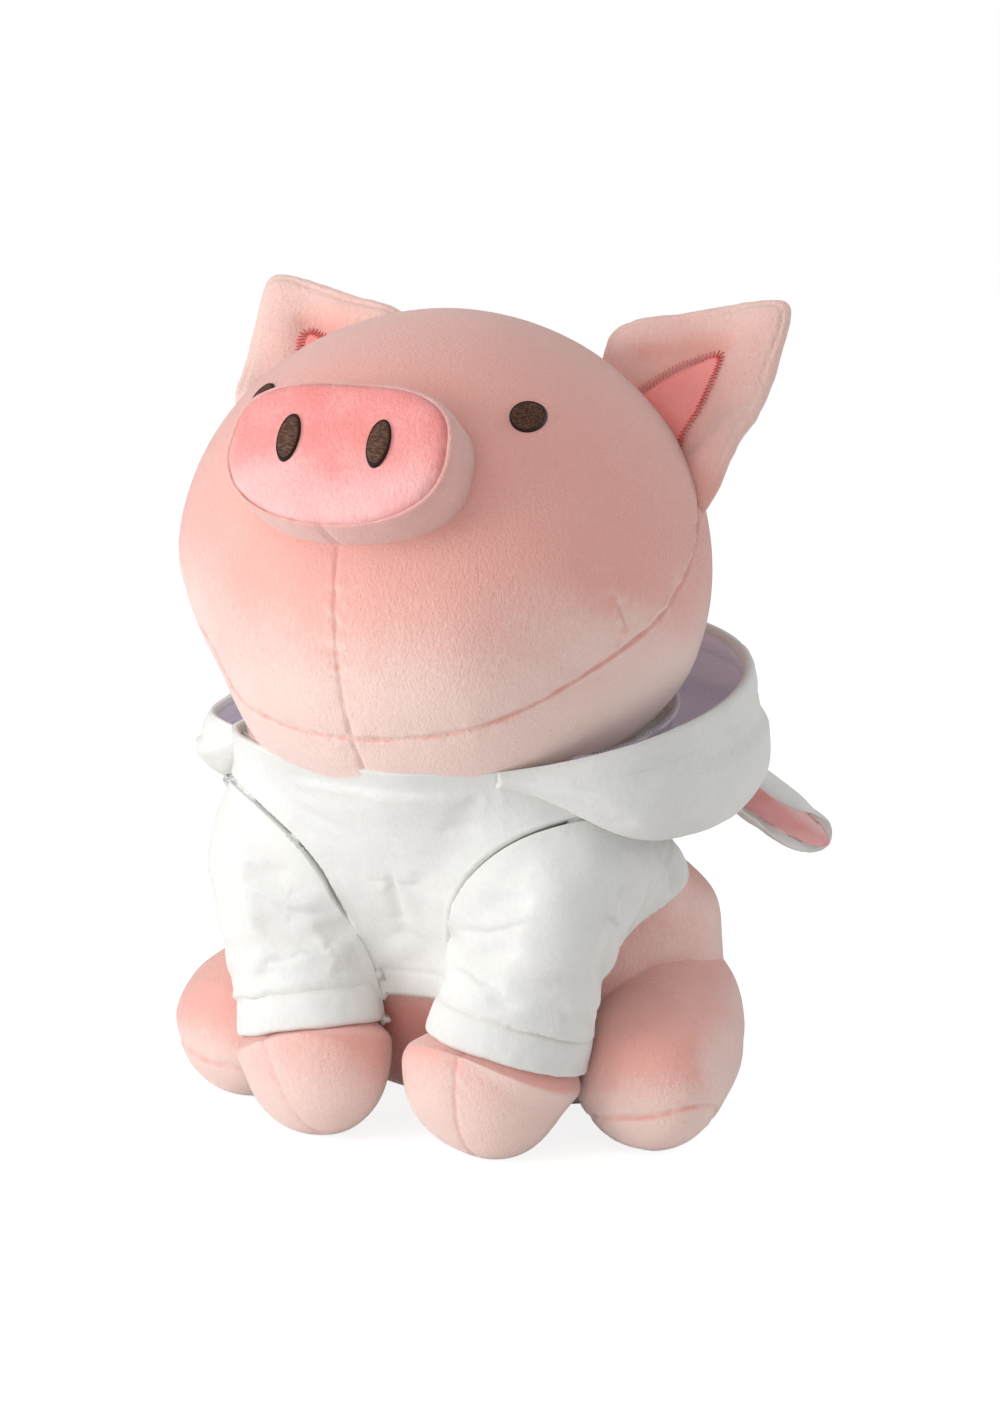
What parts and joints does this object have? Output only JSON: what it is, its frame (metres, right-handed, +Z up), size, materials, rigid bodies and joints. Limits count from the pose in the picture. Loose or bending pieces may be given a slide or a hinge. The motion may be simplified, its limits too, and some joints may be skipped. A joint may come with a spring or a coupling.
{
  "type": "plush pig",
  "caption": "Seated plush pig in a white hooded top, big round head with a flat snout, upright ears, soft legs and a hood with ears lying on its back.",
  "frame": {"origin": "on the surface that the pig sits on, under the middle of its box", "axes": "+Z up, -Y the way the pig faces, +X to the pig's left"},
  "size_m": [0.1722, 0.2166, 0.238],
  "materials": {
    "pink_plush": "dusty pink short-pile plush, velvety, with a soft sheen along the pile",
    "filling": "loose white polyester fibre filling",
    "bag_cloth": "plain woven bag of plastic pellets",
    "white_fleece": "off-white brushed fleece, matt, fine knit",
    "pale_pink_plush": "pale pink short-pile plush, seen along the pile",
    "deep_pink_plush": "saturated pink short-pile plush, brushed",
    "brown_thread": "dark brown satin-stitch embroidery with a slight gloss",
    "pink_fleece": "soft pink brushed fleece"
  },
  "bodies": {
    "trunk": {"body_cover": "pink_plush", "seat_panel": "pink_plush", "body_stuffing": "filling", "pellet_bag": "bag_cloth", "top_front": "white_fleece", "top_back": "white_fleece", "hood_left": "white_fleece", "hood_right": "white_fleece", "hood_rim": "white_fleece"},
    "head": {"head_stuffing": "filling", "face_panel": "pink_plush", "back_panel_left": "pink_plush", "back_panel_right": "pink_plush", "snout_stuffing": "filling", "snout_band": "pale_pink_plush", "snout_disc": "deep_pink_plush", "nostril_left": "brown_thread", "nostril_right": "brown_thread", "eye_left": "brown_thread", "eye_right": "brown_thread"},
    "ear_left": {"ear_front_left": "pink_plush", "ear_back_left": "pink_plush", "ear_lining_left": "deep_pink_plush"},
    "front_leg_left": {"front_leg_cover_left": "pink_plush", "front_leg_stuffing_left": "filling", "sleeve_left": "white_fleece", "sleeve_cuff_left": "white_fleece"},
    "hind_leg_left": {"hind_leg_cover_left": "pink_plush", "hind_leg_sole_left": "pink_plush", "hind_leg_stuffing_left": "filling"},
    "hood_ear_left": {"hood_ear_back_left": "white_fleece", "hood_ear_lining_left": "pink_fleece"},
    "ear_right": {"ear_front_right": "pink_plush", "ear_back_right": "pink_plush", "ear_lining_right": "deep_pink_plush"},
    "front_leg_right": {"front_leg_cover_right": "pink_plush", "front_leg_stuffing_right": "filling", "sleeve_right": "white_fleece", "sleeve_cuff_right": "white_fleece"},
    "hind_leg_right": {"hind_leg_cover_right": "pink_plush", "hind_leg_sole_right": "pink_plush", "hind_leg_stuffing_right": "filling"},
    "hood_ear_right": {"hood_ear_back_right": "white_fleece", "hood_ear_lining_right": "pink_fleece"},
    "tail": {"tail": "pink_plush"}
  },
  "joints": [
    {"name": "head_nod", "type": "hinge", "parent": "trunk", "child": "head", "pos_m": [0.00017, -0.02296, 0.1645], "axis": [1, 0, 0], "range_deg": [-10, 10], "stiffness_Nm_per_rad": 0.4},
    {"name": "ear_left_bend", "type": "hinge", "parent": "head", "child": "ear_left", "pos_m": [0.05192, 0.01188, 0.19785], "axis": [0.7834, -0.389, -0.4848], "range_deg": [-15, 15], "stiffness_Nm_per_rad": 0.05},
    {"name": "ear_right_bend", "type": "hinge", "parent": "head", "child": "ear_right", "pos_m": [-0.05158, 0.01188, 0.19785], "axis": [0.7834, 0.389, 0.4848], "range_deg": [-15, 15], "stiffness_Nm_per_rad": 0.05},
    {"name": "front_leg_left_swing", "type": "hinge", "parent": "trunk", "child": "front_leg_left", "pos_m": [0.04117, -0.03996, 0.079], "axis": [-1, 0, 0], "range_deg": [0, 24], "stiffness_Nm_per_rad": 0.2},
    {"name": "front_leg_right_swing", "type": "hinge", "parent": "trunk", "child": "front_leg_right", "pos_m": [-0.04083, -0.03996, 0.079], "axis": [-1, 0, 0], "range_deg": [0, 24], "stiffness_Nm_per_rad": 0.2},
    {"name": "hind_leg_left_spread", "type": "hinge", "parent": "trunk", "child": "hind_leg_left", "pos_m": [0.04917, 0.02604, 0.031], "axis": [0, 0, 1], "range_deg": [0, 20], "stiffness_Nm_per_rad": 0.3},
    {"name": "hind_leg_right_spread", "type": "hinge", "parent": "trunk", "child": "hind_leg_right", "pos_m": [-0.04883, 0.02604, 0.031], "axis": [0, 0, -1], "range_deg": [0, 20], "stiffness_Nm_per_rad": 0.3},
    {"name": "hood_ear_left_flap", "type": "hinge", "parent": "trunk", "child": "hood_ear_left", "pos_m": [0.05017, 0.07404, 0.092], "axis": [0.817, -0.5767, 0], "range_deg": [-12, 12], "stiffness_Nm_per_rad": 0.03},
    {"name": "hood_ear_right_flap", "type": "hinge", "parent": "trunk", "child": "hood_ear_right", "pos_m": [-0.04983, 0.07404, 0.092], "axis": [0.817, 0.5767, 0], "range_deg": [-12, 12], "stiffness_Nm_per_rad": 0.03},
    {"name": "tail_wag", "type": "hinge", "parent": "trunk", "child": "tail", "pos_m": [0.00017, 0.06699, 0.044], "axis": [1, 0, 0], "range_deg": [-15, 15], "stiffness_Nm_per_rad": 0.03}
  ]
}
